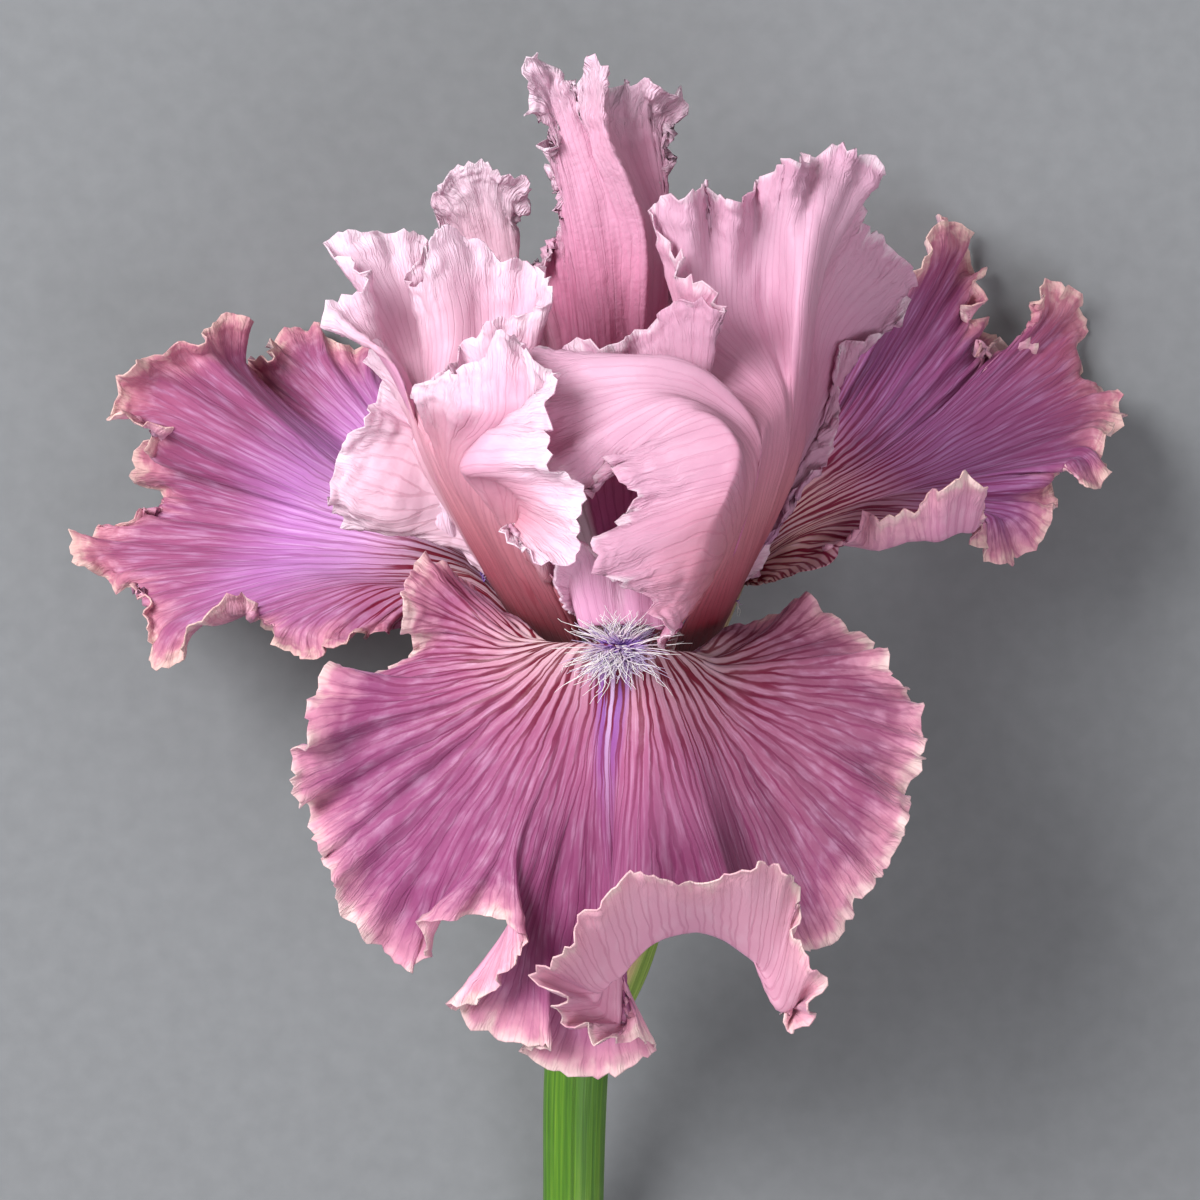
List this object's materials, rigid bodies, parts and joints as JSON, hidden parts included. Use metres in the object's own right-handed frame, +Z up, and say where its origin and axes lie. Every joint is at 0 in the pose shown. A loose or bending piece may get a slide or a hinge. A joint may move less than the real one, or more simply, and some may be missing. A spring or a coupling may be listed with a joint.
{
  "type": "bearded iris flower",
  "caption": "Cut bearded iris bloom with ruffled upright standards, spreading veined falls with hairy beards, style arms, bracts and a short stem, lying on its back.",
  "frame": {"origin": "middle of the base of the flower's bounding box, on the surface that it lies on", "axes": "+Y from the cut end of the stem towards the top of the bloom, +Z up from the surface, +X to the right as the picture shows it"},
  "size_m": [0.1602, 0.1896, 0.0929],
  "materials": {
    "stem": "fresh green, satin",
    "spathe": "olive green, papery edge",
    "fall": "orchid pink with dark red veins, soft sheen",
    "beard": "violet with pale tips, hairy",
    "standard": "pale pink, crystalline soft sheen",
    "style": "pale pink, soft sheen",
    "stamen": "cream, dusty"
  },
  "bodies": {
    "root": {"stem": "stem", "spathe_outer": "spathe", "spathe_inner": "spathe", "fall_front": "fall", "fall_left": "fall", "fall_right": "fall", "beard_front": "beard", "beard_left": "beard", "beard_right": "beard", "standard_left": "standard", "standard_right": "standard", "standard_back": "standard", "style_front": "style", "style_left": "style", "style_right": "style", "stamen_front": "stamen", "stamen_left": "stamen", "stamen_right": "stamen"}
  },
  "joints": []
}
